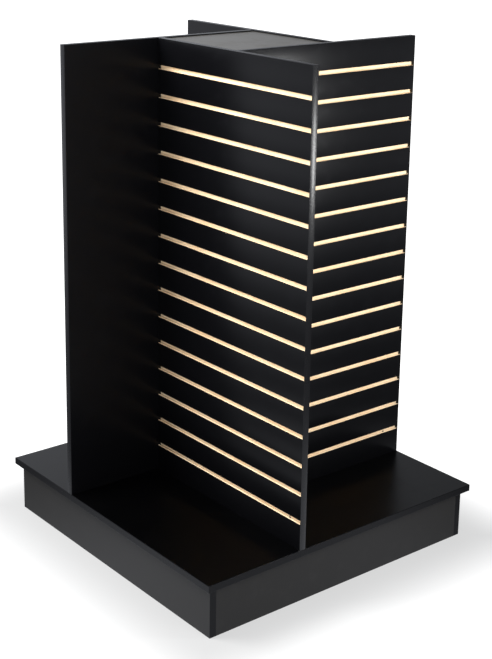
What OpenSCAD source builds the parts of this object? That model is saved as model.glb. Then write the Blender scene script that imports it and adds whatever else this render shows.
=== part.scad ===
/* [Panels] */
// Width of one slatwall panel, free end to butt joint
panel_w = 609.6; // [560:0.1:609.6]
// Height of one slatwall panel
panel_h = 1219.2; // [1200:0.1:1240]
// Thickness of every board, laminate included
board_t = 19.05; // [18.5:0.05:20]
// Thickness of the laminate skins
skin_t = 0.8; // [0.6:0.1:1]
// Thickness of the thin edge bands on the panels and kick boards
band_t = 1; // [0.6:0.1:1.5]
/* [Grooves] */
// Number of grooves in one panel
groove_n = 15; // [13:1:15]
// Distance from one groove to the next
slat_pitch = 76.2; // [76:0.1:77]
// Height of the groove's mouth between two slats
mouth_h = 11; // [10:0.5:12]
// Thickness of the lips in front of the groove's head
lip_t = 5.2; // [4.8:0.1:5.6]
// Height of the groove's head behind the lips
head_h = 22; // [20:0.5:23]
// Depth of the groove's head behind the lips
head_d = 5; // [4.5:0.1:5.2]
/* [Core and cap] */
// Clear width of the square core between the panels' inner faces
core_w = 304.8; // [290:0.1:320]
// How far the cap lies below the panels' top edges
cap_recess = 3; // [2:0.1:20]
// Gap round the cap
cap_gap = 0.4; // [0.2:0.1:1]
// Length of the battens that carry the cap
cap_cleat_l = 200; // [160:1:210]
/* [Base] */
// Width of the square deck
deck_w = 914.4; // [910:0.1:930]
// Height of the deck's top face above the floor
deck_top = 152.4; // [150:0.1:160]
// How far the deck stands out past the kick boards
overhang = 17; // [12:0.5:20]
// Thickness of the deck's edge band
deck_band_t = 2; // [1.5:0.1:3]
// Radius of the deck band's eased edges
deck_band_r = 1.2; // [0.5:0.1:1.5]
// Height of the cross stretchers under the deck
stretcher_h = 100; // [80:1:110]
// Width of the square corner blocks
block_w = 44; // [42:1:48]
// Height of the corner blocks
block_h = 95; // [92:1:98]
/* [Fasteners] */
// Slats, counted from the top, that hold a cam lock
cam_slats = [1, 6, 10, 14]; // [0:1:14]
// Slats, counted from the top, that hold a dowel
dowel_slats = [3, 8, 12]; // [0:1:14]
// Distance of the cam's centre from the panel's inner end
cam_set = 34; // [30:0.5:36]
// Length of the wood dowels
dowel_l = 30; // [28:1:32]
// Distance of the outer base screw from the panel's free end
screw_set = 50.8; // [40:0.1:60]
// Length of the screws at the panels' free ends
long_screw_l = 94; // [92:0.5:96]
// Length of the other deck screws
deck_screw_l = 76.2; // [70:0.1:78]
// Length of the small wood screws
wood_screw_l = 32; // [30:0.5:33]
/* [Levellers] */
// Height of a retracted leveller's foot above the floor
foot_rise = 3.2; // [1:0.1:5]
// Radius of a leveller's foot
foot_r = 19; // [17:0.5:20]
// Radius of the leveller's threaded stem
stem_r = 4.75; // [4.5:0.05:4.85]
// Height of the stem's top above the floor when retracted
stem_top = 100; // [90:1:110]
/* [Hidden] */
$fn = 48;
SIDES = ["front", "right", "back", "left"];
CORNERS = ["back_right", "back_left", "front_left", "front_right"];
PANEL_PIECES = ["core", "slat_faces", "back_face", "end_band", "top_band"];

half_core = core_w / 2;
deck_under = deck_top - board_t;
plinth_w = deck_w - 2 * overhang;
half_plinth = plinth_w / 2;
kick_inner = half_plinth - board_t;
mid_t = board_t / 2;
cap_top = deck_top + panel_h - cap_recess;
cap_w = core_w - 2 * cap_gap;
cleat_w = board_t;
block_at = kick_inner - block_w / 2;
block_z = deck_under - block_h;

cut = 1;
fit_gap = 0.05;
cam_r = 7.5;
cam_depth = 13.2;
cam_hollow_gap = 0.5;
cam_slot_share = 0.6;
cam_bolt_r = 2.75;
cam_bolt_head_r = 2.7;
cam_bolt_thread_r = 2.5;
cam_bolt_step = 0.5;
cam_bolt_in = 11;
cam_neck_r = 1.75;
cam_neck_l = 6;
cam_neck_taper = 1;
cam_bore_r = 4;
dowel_r = 4;
dowel_chamfer = 1;
dowel_in = 10;
deck_screw_r = 2.5;
deck_screw_head_r = 5;
wood_screw_r = 2;
wood_screw_head_r = 4;
recess_w = 0.9;
recess_depth = 1.6;
recess_share = 0.55;
head_rim = 0.4;
point_r = 0.3;
tip_l = 8;
kick_dowel_in = 12;
block_offset = 13;
block_sink_r = 5.5;
block_sink = 24;
kick_screw_z = [60, 110];
kick_screw_dz = 12;
block_deck_in = 16;
inner_screw_x = 60;
middle_screw_x = 300;
cleat_screw_x = 60;
notch_gap = 0.1;
stretcher_dowel_z = [58, 108];
nut_flange_r = 12.7;
nut_flange_t = 1.6;
nut_barrel_r = 5.9;
nut_barrel_h = 11;
stem_bore_r = 6;
stem_bore_h = 68;
foot_t = 5;
foot_hub_r = 10.5;
foot_hub_h = 17;
socket_r = 7.3;
socket_z = [4, 10.8];
ball_r = 7;
ball_z = [4.3, 10.5];
collar_z = [26, 32.8];
collar_r = 8.1;

slot_z = [for (j = [1:groove_n]) panel_h - j * slat_pitch];
cam_z = [for (k = cam_slats) panel_h - (k + 0.5) * slat_pitch];
dowel_z = [for (k = dowel_slats) panel_h - (k + 0.5) * slat_pitch];
inner_screws = [inner_screw_x, middle_screw_x];
outer_screw = panel_w - screw_set;
block_screw_z = deck_under + block_deck_in - deck_screw_l;

// Colours
black = [0.04, 0.04, 0.045];
band_black = [0.10, 0.10, 0.11];
mdf = [0.87, 0.70, 0.50];
pine = [0.84, 0.70, 0.48];
beech = [0.80, 0.62, 0.42];
zinc = [0.72, 0.73, 0.75];
dark_steel = [0.20, 0.20, 0.21];
foot_black = [0.08, 0.08, 0.08];

// Placing -------------------------------------------------------------

// Turns a thing built on the front side round to side i
module on_side(i) {
    rotate([0, 0, 90 * i]) children();
}

// From a panel's own frame (inner end, outer face, bottom edge) to side i
module at_panel(i) {
    on_side(i) translate([-half_core, -half_core - board_t, deck_top]) children();
}

// From a corner block's own frame (centre of its plan, floor) to corner i
module at_corner(i) {
    on_side(i) translate([block_at, block_at, 0]) children();
}

// Turns a thing built along +Z so that it points along +X, +Y or -Y
module along_x() {
    rotate([0, 90, 0]) children();
}

module along_y() {
    rotate([-90, 0, 0]) children();
}

module against_y() {
    rotate([90, 0, 0]) children();
}

// Extrudes a Y-Z outline along X
module run_x(length) {
    rotate([90, 0, 90]) linear_extrude(length) children();
}

// Panels ---------------------------------------------------------------

module groove_outline() {
    translate([-cut, -mouth_h / 2]) square([cut + lip_t + head_d, mouth_h]);
    translate([lip_t, -head_h / 2]) square([head_d, head_h]);
}

// Bores for the cam locks, cam bolts and dowels at a panel's own inner end
module end_bores() {
    for (z = cam_z) {
        translate([-cut, mid_t, z]) along_x() cylinder(r = cam_bore_r, h = cam_set + cut);
        translate([cam_set, board_t + cut, z])
            against_y() cylinder(r = cam_r + fit_gap, h = cam_depth + cut + fit_gap);
    }
    for (z = dowel_z)
        translate([-cut, mid_t, z])
            along_x() cylinder(r = dowel_r + fit_gap, h = dowel_l - dowel_in + cut + fit_gap);
}

// Bores in a panel's inner face for the neighbour that butts against it
module face_bores() {
    for (z = cam_z)
        translate([core_w + mid_t, board_t + cut, z])
            against_y() cylinder(r = cam_bolt_thread_r + fit_gap, h = cam_bolt_in + cut + fit_gap);
    for (z = dowel_z)
        translate([core_w + mid_t, board_t + cut, z])
            against_y() cylinder(r = dowel_r + fit_gap, h = dowel_in + cut + fit_gap);
}

module cleat_pilots() {
    for (x = [-cleat_screw_x, cleat_screw_x])
        translate([half_core + x, board_t + cut, panel_h - cap_recess - board_t - cleat_w / 2])
            against_y() cylinder(r = wood_screw_r + fit_gap, h = wood_screw_l - cleat_w + cut + fit_gap);
}

module base_pilots() {
    for (x = inner_screws)
        translate([x, mid_t, -cut])
            cylinder(r = deck_screw_r + fit_gap, h = deck_screw_l - board_t + cut + fit_gap);
    translate([outer_screw, mid_t, -cut])
        cylinder(r = deck_screw_r + fit_gap, h = long_screw_l - board_t + cut + fit_gap);
}

// The board with its T-shaped grooves, as wide as the panel less its end band
module panel_core(i) {
    color(mdf) at_panel(i) difference() {
        run_x(panel_w - band_t) difference() {
            translate([skin_t, 0]) square([board_t - 2 * skin_t, panel_h - band_t]);
            for (z = slot_z) translate([0, z]) groove_outline();
        }
        end_bores();
        face_bores();
        cleat_pilots();
        base_pilots();
    }
}

// One laminate strip on each slat
module slat_faces(i) {
    color(black) at_panel(i) run_x(panel_w - band_t) difference() {
        square([skin_t, panel_h - band_t]);
        for (z = slot_z) translate([-cut, z - mouth_h / 2]) square([skin_t + 2 * cut, mouth_h]);
    }
}

module back_face(i) {
    color(black) at_panel(i) difference() {
        translate([0, board_t - skin_t, 0]) cube([panel_w - band_t, skin_t, panel_h - band_t]);
        end_bores();
        face_bores();
        cleat_pilots();
    }
}

module panel_end_band(i) {
    color(band_black) at_panel(i) translate([panel_w - band_t, 0, 0]) cube([band_t, board_t, panel_h]);
}

module panel_top_band(i) {
    color(black) at_panel(i)
        translate([0, 0, panel_h - band_t]) cube([panel_w - band_t, board_t, band_t]);
}

// Cap ------------------------------------------------------------------

module top_cap_board() {
    color(mdf) translate([-cap_w / 2, -cap_w / 2, cap_top - board_t])
        cube([cap_w, cap_w, board_t - skin_t]);
}

module top_cap_laminate() {
    color(black) translate([-cap_w / 2, -cap_w / 2, cap_top - skin_t]) cube([cap_w, cap_w, skin_t]);
}

// A batten on the panel's inner face, under the cap
module cap_cleat(i) {
    color(pine) at_panel(i) difference() {
        translate([half_core - cap_cleat_l / 2, board_t, panel_h - cap_recess - board_t - cleat_w])
            cube([cap_cleat_l, cleat_w, cleat_w]);
        for (x = [-cleat_screw_x, cleat_screw_x])
            translate([half_core + x, board_t + cleat_w, panel_h - cap_recess - board_t - cleat_w / 2])
                against_y() screw_hole(wood_screw_r, wood_screw_head_r, wood_screw_l);
    }
}

// Base -----------------------------------------------------------------

module deck_board() {
    w = deck_w - 2 * deck_band_t;
    color(mdf) difference() {
        translate([-w / 2, -w / 2, deck_under]) cube([w, w, board_t - skin_t]);
        for (i = [0:3]) deck_holes(i);
    }
}

module deck_laminate() {
    w = deck_w - 2 * deck_band_t;
    color(black) difference() {
        translate([-w / 2, -w / 2, deck_top - skin_t]) cube([w, w, skin_t]);
        for (i = [0:3]) panel_screw_holes(i);
    }
}

module panel_screw_holes(i) {
    at_panel(i) translate([0, mid_t, -board_t]) {
        for (x = inner_screws)
            translate([x, 0, 0]) screw_hole(deck_screw_r, deck_screw_head_r, deck_screw_l);
        translate([outer_screw, 0, 0]) screw_hole(deck_screw_r, deck_screw_head_r, long_screw_l);
    }
}

module deck_holes(i) {
    panel_screw_holes(i);
    at_corner(i) translate([block_offset, block_offset, deck_under - cut])
        cylinder(r = deck_screw_r + fit_gap, h = block_deck_in + cut + fit_gap);
}

// The band's section: outer edges eased, inner side flat against the board
module band_outline() {
    difference() {
        square([deck_band_t, board_t]);
        for (z = [0, board_t])
            difference() {
                translate([-cut, z - deck_band_r]) square([deck_band_r + cut, 2 * deck_band_r]);
                translate([deck_band_r, abs(z - deck_band_r)]) circle(deck_band_r);
            }
    }
}

// Front and back bands run the full width, the other two fit between them
module deck_band(i) {
    trim = i % 2 == 0 ? 0 : deck_band_t;
    color(band_black) on_side(i) translate([-deck_w / 2 + trim, -deck_w / 2, deck_under])
        run_x(deck_w - 2 * trim) band_outline();
}

// Front and back kick boards run the full width, the other two fit between them
module kick(i) {
    trim = i % 2 == 0 ? band_t : board_t;
    color(black) difference() {
        on_side(i) translate([-half_plinth + trim, -half_plinth, 0])
            cube([plinth_w - 2 * trim, board_t, deck_under]);
        for (k = [0, 3]) on_side(i - 1 + k) kick_pilots();
        on_side(i) kick_dowel_bores();
    }
}

// Pilots for the block screws of the corner between the right and back sides
module kick_pilots() {
    translate([block_at, block_at, 0]) block_side_screws() {
        translate([0, 0, -wood_screw_l])
            cylinder(r = wood_screw_r + fit_gap, h = wood_screw_l + fit_gap);
    }
}

module kick_dowel_bores() {
    for (z = stretcher_dowel_z)
        translate([0, -kick_inner + cut, z])
            against_y() cylinder(r = dowel_r + fit_gap, h = kick_dowel_in + cut + fit_gap);
}

module kick_end_bands() {
    color(band_black) for (x = [-half_plinth, half_plinth - band_t])
        for (y = [-half_plinth, kick_inner]) translate([x, y, 0]) cube([band_t, board_t, deck_under]);
}

// Puts a thing whose tip is at its origin, pointing +Z, at the tips of a block's side screws
module block_side_screws() {
    reach = block_w / 2 - block_w + block_sink + wood_screw_l;
    for (z = kick_screw_z) {
        translate([reach, -block_offset, z]) along_x() children();
        translate([-block_offset, reach, z + kick_screw_dz]) along_y() children();
    }
}

module corner_block(i) {
    color(pine) at_corner(i) difference() {
        translate([-block_w / 2, -block_w / 2, block_z]) cube([block_w, block_w, block_h]);
        translate([0, 0, block_z - cut]) cylinder(r = stem_bore_r, h = stem_bore_h + cut);
        block_side_screws() {
            translate([0, 0, -wood_screw_l]) screw_hole(wood_screw_r, wood_screw_head_r, wood_screw_l);
            translate([0, 0, -wood_screw_l - block_sink - cut])
                cylinder(r = block_sink_r, h = block_sink + cut);
        }
        translate([block_offset, block_offset, 0]) {
            translate([0, 0, block_z - cut])
                cylinder(r = block_sink_r, h = block_screw_z - block_z + cut);
            translate([0, 0, block_screw_z]) screw_hole(deck_screw_r, deck_screw_head_r, deck_screw_l);
        }
    }
}

// A stretcher from kick to kick; the notch at its middle takes the other one
module stretcher(turned) {
    low = turned ? 0 : stretcher_h / 2;
    color(mdf) rotate([0, 0, turned ? 90 : 0]) difference() {
        translate([-kick_inner, -mid_t, deck_under - stretcher_h])
            cube([2 * kick_inner, board_t, stretcher_h]);
        translate([-mid_t - notch_gap, -board_t, deck_under - stretcher_h + low - (turned ? cut : notch_gap)])
            cube([board_t + 2 * notch_gap, 2 * board_t, stretcher_h / 2 + cut + notch_gap]);
        for (z = stretcher_dowel_z, a = [0, 180]) rotate([0, 0, a])
            translate([kick_inner + cut, 0, z]) rotate([0, -90, 0])
                cylinder(r = dowel_r + fit_gap, h = dowel_l - kick_dowel_in + cut + fit_gap);
    }
}

// Levellers ------------------------------------------------------------

module leveller_foot(i) {
    color(foot_black) at_corner(i) translate([0, 0, foot_rise]) difference() {
        union() {
            cylinder(r = foot_r, h = foot_t);
            cylinder(r = foot_hub_r, h = foot_hub_h);
        }
        translate([0, 0, socket_z[0]]) cylinder(r = socket_r, h = socket_z[1] - socket_z[0]);
        translate([0, 0, socket_z[1] - cut]) cylinder(r = stem_r + fit_gap, h = foot_hub_h);
    }
}

module leveller_stem(i) {
    color(zinc) at_corner(i) translate([0, 0, foot_rise]) {
        translate([0, 0, ball_z[0]]) cylinder(r = ball_r, h = ball_z[1] - ball_z[0]);
        translate([0, 0, ball_z[0]]) cylinder(r = stem_r, h = stem_top - foot_rise - ball_z[0]);
        translate([0, 0, collar_z[0]]) cylinder(r = collar_r, h = collar_z[1] - collar_z[0], $fn = 6);
    }
}

module leveller_nuts() {
    color(zinc) for (i = [0:3]) at_corner(i) difference() {
        union() {
            translate([0, 0, block_z - nut_flange_t]) cylinder(r = nut_flange_r, h = nut_flange_t);
            translate([0, 0, block_z - nut_flange_t])
                cylinder(r = nut_barrel_r, h = nut_flange_t + nut_barrel_h);
        }
        translate([0, 0, block_z - nut_flange_t - cut])
            cylinder(r = stem_r + fit_gap, h = nut_flange_t + nut_barrel_h + 2 * cut);
    }
}

// Fasteners --------------------------------------------------------------

// A countersunk screw pointing +Z, its head's top face at the origin
module screw(r, head_r, length) {
    difference() {
        rotate_extrude() polygon([
            [0, 0], [head_r, 0], [head_r, head_rim], [r, head_r - r + head_rim],
            [r, length - tip_l], [point_r, length], [0, length]
        ]);
        for (a = [0, 90]) rotate([0, 0, a])
            translate([-head_r * recess_share, -recess_w / 2, -cut])
                cube([2 * head_r * recess_share, recess_w, recess_depth + cut]);
    }
}

// The hole that such a screw sits in
module screw_hole(r, head_r, length) {
    rotate_extrude() polygon([
        [0, -cut], [head_r + fit_gap, -cut], [head_r + fit_gap, head_rim],
        [r + fit_gap, head_r - r + head_rim], [r + fit_gap, length + fit_gap], [0, length + fit_gap]
    ]);
}

module cam_locks() {
    hollow_r = cam_bolt_head_r + cam_hollow_gap;
    color(zinc) for (i = [0:3]) at_panel(i) for (z = cam_z) translate([cam_set, board_t, z]) difference() {
        against_y() cylinder(r = cam_r, h = cam_depth);
        translate([0, -mid_t, 0]) rotate([0, -90, 0]) cylinder(r = hollow_r, h = 2 * cam_r);
        translate([0, -mid_t, 0]) sphere(r = hollow_r);
        translate([-cam_r * cam_slot_share, -recess_depth, -recess_w / 2])
            cube([2 * cam_r * cam_slot_share, recess_depth + cut, recess_w]);
    }
}

// Threaded into the neighbour's inner face, its head held in the cam
module cam_bolts() {
    length = cam_bolt_in + cam_set;
    head = length - cam_bolt_head_r / 2;
    neck = head - cam_bolt_step - cam_neck_l;
    color(dark_steel) for (i = [0:3]) at_panel(i) for (z = cam_z)
        translate([-cam_bolt_in, mid_t, z]) along_x() rotate_extrude() polygon([
            [0, 0], [cam_bolt_thread_r, 0], [cam_bolt_thread_r, cam_bolt_in],
            [cam_bolt_r, cam_bolt_in + cam_bolt_step], [cam_bolt_r, neck - cam_neck_taper],
            [cam_neck_r, neck], [cam_neck_r, head - cam_bolt_step], [cam_bolt_head_r, head],
            [cam_bolt_head_r, head + cam_bolt_head_r], [0, head + cam_bolt_head_r + cam_neck_taper]
        ]);
}

// A fluted dowel is drawn as a plain pin with chamfered ends, along +Z
module dowel() {
    rotate_extrude() polygon([
        [0, 0], [dowel_r - dowel_chamfer, 0], [dowel_r, dowel_chamfer], [dowel_r, dowel_l - dowel_chamfer],
        [dowel_r - dowel_chamfer, dowel_l], [0, dowel_l]
    ]);
}

module wood_dowels() {
    color(beech) {
        for (i = [0:3]) at_panel(i) for (z = dowel_z)
            translate([-dowel_in, mid_t, z]) along_x() dowel();
        for (i = [0:3], z = stretcher_dowel_z) on_side(i)
            translate([0, -kick_inner - kick_dowel_in, z]) along_y() dowel();
    }
}

module long_screws() {
    color(dark_steel) for (i = [0:3]) at_panel(i)
        translate([outer_screw, mid_t, -board_t]) screw(deck_screw_r, deck_screw_head_r, long_screw_l);
}

module deck_screws() {
    color(dark_steel) {
        for (i = [0:3]) at_panel(i) for (x = inner_screws)
            translate([x, mid_t, -board_t]) screw(deck_screw_r, deck_screw_head_r, deck_screw_l);
        for (i = [0:3]) at_corner(i) translate([block_offset, block_offset, block_screw_z])
            screw(deck_screw_r, deck_screw_head_r, deck_screw_l);
    }
}

module wood_screws() {
    color(dark_steel) {
        for (i = [0:3]) at_panel(i) for (x = [-cleat_screw_x, cleat_screw_x])
            translate([half_core + x, board_t + cleat_w, panel_h - cap_recess - board_t - cleat_w / 2])
                against_y() screw(wood_screw_r, wood_screw_head_r, wood_screw_l);
        for (i = [0:3]) at_corner(i) block_side_screws()
            translate([0, 0, -wood_screw_l]) screw(wood_screw_r, wood_screw_head_r, wood_screw_l);
    }
}

// Nodes ----------------------------------------------------------------

panel_core(0);  // front_panel_core
panel_core(1);  // right_panel_core
panel_core(2);  // back_panel_core
panel_core(3);  // left_panel_core
slat_faces(0);  // front_panel_slat_faces
slat_faces(1);  // right_panel_slat_faces
slat_faces(2);  // back_panel_slat_faces
slat_faces(3);  // left_panel_slat_faces
back_face(0);  // front_panel_back_face
back_face(1);  // right_panel_back_face
back_face(2);  // back_panel_back_face
back_face(3);  // left_panel_back_face
panel_end_band(0);  // front_panel_end_band
panel_end_band(1);  // right_panel_end_band
panel_end_band(2);  // back_panel_end_band
panel_end_band(3);  // left_panel_end_band
panel_top_band(0);  // front_panel_top_band
panel_top_band(1);  // right_panel_top_band
panel_top_band(2);  // back_panel_top_band
panel_top_band(3);  // left_panel_top_band
top_cap_board();
top_cap_laminate();
cap_cleat(0);  // cap_cleat_front
cap_cleat(1);  // cap_cleat_right
cap_cleat(2);  // cap_cleat_back
cap_cleat(3);  // cap_cleat_left
deck_board();
deck_laminate();
deck_band(0);  // deck_band_front
deck_band(1);  // deck_band_right
deck_band(2);  // deck_band_back
deck_band(3);  // deck_band_left
kick(0);  // kick_front
kick(1);  // kick_right
kick(2);  // kick_back
kick(3);  // kick_left
kick_end_bands();
stretcher(false);  // stretcher_across
stretcher(true);  // stretcher_along
corner_block(0);  // corner_block_back_right
corner_block(1);  // corner_block_back_left
corner_block(2);  // corner_block_front_left
corner_block(3);  // corner_block_front_right
leveller_foot(0);  // leveller_foot_back_right
leveller_foot(1);  // leveller_foot_back_left
leveller_foot(2);  // leveller_foot_front_left
leveller_foot(3);  // leveller_foot_front_right
leveller_stem(0);  // leveller_stem_back_right
leveller_stem(1);  // leveller_stem_back_left
leveller_stem(2);  // leveller_stem_front_left
leveller_stem(3);  // leveller_stem_front_right
leveller_nuts();
cam_locks();
cam_bolts();
wood_dowels();
long_screws();
deck_screws();
wood_screws();
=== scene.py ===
import math

import bmesh
import bpy
from bpy.props import FloatProperty, FloatVectorProperty, PointerProperty
from mathutils import Matrix, Vector


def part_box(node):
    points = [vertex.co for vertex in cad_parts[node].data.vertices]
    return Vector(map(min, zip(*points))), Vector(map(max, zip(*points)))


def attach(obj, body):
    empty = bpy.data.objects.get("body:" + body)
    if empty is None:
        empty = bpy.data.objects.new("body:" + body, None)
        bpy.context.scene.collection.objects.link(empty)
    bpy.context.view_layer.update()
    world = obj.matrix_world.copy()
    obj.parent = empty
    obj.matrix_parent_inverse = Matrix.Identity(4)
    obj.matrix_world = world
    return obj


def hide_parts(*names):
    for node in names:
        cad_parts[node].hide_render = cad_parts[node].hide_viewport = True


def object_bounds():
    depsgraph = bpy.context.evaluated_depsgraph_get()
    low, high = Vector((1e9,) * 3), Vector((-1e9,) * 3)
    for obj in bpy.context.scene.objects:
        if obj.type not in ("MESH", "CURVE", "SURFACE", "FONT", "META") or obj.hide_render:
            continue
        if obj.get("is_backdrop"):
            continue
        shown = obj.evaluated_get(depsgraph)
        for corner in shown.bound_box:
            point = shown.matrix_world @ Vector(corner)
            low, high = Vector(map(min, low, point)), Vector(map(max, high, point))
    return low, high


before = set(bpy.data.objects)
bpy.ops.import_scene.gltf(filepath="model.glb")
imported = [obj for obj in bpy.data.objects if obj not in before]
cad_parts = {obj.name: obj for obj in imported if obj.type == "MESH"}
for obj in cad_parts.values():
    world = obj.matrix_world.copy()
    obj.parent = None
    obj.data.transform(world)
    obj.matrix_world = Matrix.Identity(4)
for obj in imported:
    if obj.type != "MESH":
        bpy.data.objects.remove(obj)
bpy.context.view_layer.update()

bl_info = {
    "name": "Four-way slatwall display",
    "version": (1, 0, 0),
    "blender": (4, 5, 0),
    "location": "View3D > Sidebar > Slatwall",
    "description": "Builds the finishes, fixings and studio stage of a four-way slatwall display",
    "category": "Object",
}

SIDES = ("front", "right", "back", "left")
CORNERS = ("back_right", "back_left", "front_left", "front_right")
RUNS = {"front": "X", "right": "Y", "back": "X", "left": "Y"}
OUTWARD = {
    "front": Vector((0, -1, 0)),
    "right": Vector((1, 0, 0)),
    "back": Vector((0, 1, 0)),
    "left": Vector((-1, 0, 0)),
}
FIXTURE = "fixture"
MM = 0.001
SAME_PLACE = 1e-6
WHOLE_TURN = 2 * math.pi
SHARP_EDGE = math.radians(32)
# How far back a direction in the room points where it starts to dim, and where it is dimmest
BACK_OF_ROOM = (0.45, 0.80)


# Shaders ---------------------------------------------------------------------


class Signal:
    """One output in a finish's node tree, with the arithmetic written as Python."""

    def __init__(self, finish, socket):
        self.finish = finish
        self.socket = socket

    def __add__(self, other):
        return self.finish.maths("ADD", self, other)

    def __radd__(self, other):
        return self.finish.maths("ADD", other, self)

    def __sub__(self, other):
        return self.finish.maths("SUBTRACT", self, other)

    def __rsub__(self, other):
        return self.finish.maths("SUBTRACT", other, self)

    def __mul__(self, other):
        return self.finish.maths("MULTIPLY", self, other)

    def __rmul__(self, other):
        return self.finish.maths("MULTIPLY", other, self)

    def __truediv__(self, other):
        return self.finish.maths("DIVIDE", self, other)

    def __mod__(self, other):
        return self.finish.maths("FLOORED_MODULO", self, other)


class Wiring:
    """A node tree, with the few calls that fill it."""

    def __init__(self, tree):
        self.tree = tree

    def node(self, kind, settings, inputs, output=0):
        made = self.tree.nodes.new(kind)
        for setting, value in settings.items():
            setattr(made, setting, value)
        for name, value in inputs.items():
            if isinstance(value, Signal):
                self.tree.links.new(value.socket, made.inputs[name])
            else:
                made.inputs[name].default_value = value
        return None if output is None else Signal(self, made.outputs[output])

    def maths(self, operation, *values):
        return self.node("ShaderNodeMath", {"operation": operation}, dict(enumerate(values)))

    def point(self, coordinates="Object"):
        return self.node("ShaderNodeTexCoord", {}, {}, coordinates)

    def part(self, vector, axis):
        return self.node("ShaderNodeSeparateXYZ", {}, {"Vector": vector}, axis)

    def over(self, vector, factors):
        return self.node("ShaderNodeVectorMath", {"operation": "MULTIPLY"}, {0: vector, 1: factors})

    def span(self, vector):
        return self.node("ShaderNodeVectorMath", {"operation": "LENGTH"}, {0: vector}, "Value")

    def place(self, run="X", stretch=(1, 1, 1)):
        """The point being shaded, turned so that run lies along the first axis."""
        turn = {"X": (0, 0, 0), "Y": (0, 0, -math.pi / 2), "Z": (0, math.pi / 2, 0)}[run]
        turned = self.node("ShaderNodeMapping", {}, {"Vector": self.point(), "Rotation": turn})
        return self.node("ShaderNodeMapping", {}, {"Vector": turned, "Scale": stretch})

    def noise(self, place, scale, detail=2.0, roughness=0.5, distortion=0.0):
        inputs = {"Vector": place, "Scale": scale, "Detail": detail}
        inputs.update({"Roughness": roughness, "Distortion": distortion})
        return self.node("ShaderNodeTexNoise", {}, inputs)

    def fade(self, value, start, end):
        """0 up to start, 1 from end on, smooth between them."""
        inputs = {"Value": value, "From Min": start, "From Max": end}
        return self.node("ShaderNodeMapRange", {"interpolation_type": "SMOOTHSTEP"}, inputs)

    def mix(self, factor, first, second):
        """From colour first to colour second."""
        colours = [c if isinstance(c, Signal) else (*c, 1) for c in (first, second)]
        inputs = {0: factor, 6: colours[0], 7: colours[1]}
        return self.node("ShaderNodeMix", {"data_type": "RGBA"}, inputs, 2)

    def bump(self, height, depth, strength=1.0):
        inputs = {"Height": height, "Distance": depth, "Strength": strength}
        return self.node("ShaderNodeBump", {}, inputs)


class Finish(Wiring):
    """A material: constants set its shader's fixed sockets, and paint feeds the others."""

    def __init__(self, name, constants):
        self.material = bpy.data.materials.new(name)
        self.material.use_nodes = True
        super().__init__(self.material.node_tree)
        self.shader = self.tree.nodes["Principled BSDF"]
        for socket, value in constants.items():
            self.shader.inputs[socket].default_value = value

    def paint(self, **signals):
        """Feeds the shader's sockets, named with _ for a space, and returns the material."""
        for name, signal in signals.items():
            self.tree.links.new(signal.socket, self.shader.inputs[name.replace("_", " ")])
        return self.material


def shade(colour, share):
    return tuple(channel * share for channel in colour)


def laminate(name, run, colours, surfaces, ground=None, gloss=1.0, dust=0.0, edges=None):
    """Satin laminate, black unless ground is another colour. Dust settles on level sheets; laid on
    thick, as on the cap, it also lightens the sheet as painted sheen.

    edges gives the grooves to scuff by: the first one's height, their pitch and half their mouth.
    """
    f = Finish(name, {"Specular IOR Level": surfaces.laminate_gloss * gloss, "IOR": 1.5})
    place = f.place(run)
    cloud = f.noise(place, 5, 3, 0.55)
    smudge = f.fade(f.noise(place, 24, 4, 0.6, 0.4), 0.5, 0.74)
    scratches = f.fade(f.noise(f.place(run, (7, 420, 420)), 1, 3, 0.65, 0.15), 0.68, 0.73)
    speck = f.fade(f.noise(place, 700, 1), 0.70, 0.80)
    pebble = f.noise(place, 1500, 2, 0.6)
    wear = scratches * smudge
    if edges:
        first, pitch, half_mouth = edges
        reach = (f.part(f.point(), "Z") - first + pitch / 2) % pitch - pitch / 2
        near = 1 - f.fade(f.maths("ABSOLUTE", reach), half_mouth, half_mouth + 2.2 * MM)
        rubbed = f.fade(f.noise(f.place(run, (16, 60, 60)), 1, 4, 0.7), 0.52, 0.72)
        wear = f.maths("MAXIMUM", wear, near * rubbed * 0.5)
    # Dust mask that lightens the colour; where the amount is large, as on the cap, it is also
    # painted sheen.
    dust_and_sheen = dust * f.fade(f.noise(place, 9, 4, 0.65), 0.42, 0.8) + dust * speck
    ground = ground or colours.laminate
    colour = f.mix(smudge * 0.5, ground, shade(ground, 1.4))
    colour = f.mix(speck * 0.5, colour, shade(ground, 1.8))
    colour = f.mix(wear * 0.06, colour, colours.laminate_worn)
    colour = f.mix(dust_and_sheen * 0.012, colour, colours.dust)
    rough = surfaces.laminate_roughness + 0.04 * cloud + 0.05 * smudge + 0.12 * wear
    normal = f.bump(pebble + scratches * -0.8, 0.02 * MM, 0.35)
    return f.paint(Base_Color=colour, Roughness=rough + 0.04 * dust_and_sheen, Normal=normal)


def edge_band(name, run, colours, surfaces, chipped=0.5, gloss=1.0):
    """Extruded black edging: fine lines along its length, and a rubbed patch here and there."""
    f = Finish(name, {"Specular IOR Level": surfaces.band_gloss * gloss, "IOR": 1.5})
    lines = f.noise(f.place(run, (2, 900, 900)), 1, 2, 0.5)
    cloud = f.noise(f.place(run), 18, 3, 0.6)
    rubbed = f.fade(f.noise(f.place(run, (14, 90, 90)), 1, 5, 0.7), 0.58, 0.78)
    speck = f.fade(f.noise(f.place(run), 600, 1), 0.74, 0.84)
    colour = f.mix(cloud * 0.6, colours.band, shade(colours.band, 1.5))
    colour = f.mix(rubbed * chipped * 0.12 + speck * 0.03, colour, colours.laminate_worn)
    rough = surfaces.band_roughness + 0.06 * cloud + 0.12 * rubbed
    normal = f.bump(lines + 0.5 * cloud, 0.015 * MM, 0.4)
    return f.paint(Base_Color=colour, Roughness=rough, Normal=normal)


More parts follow.
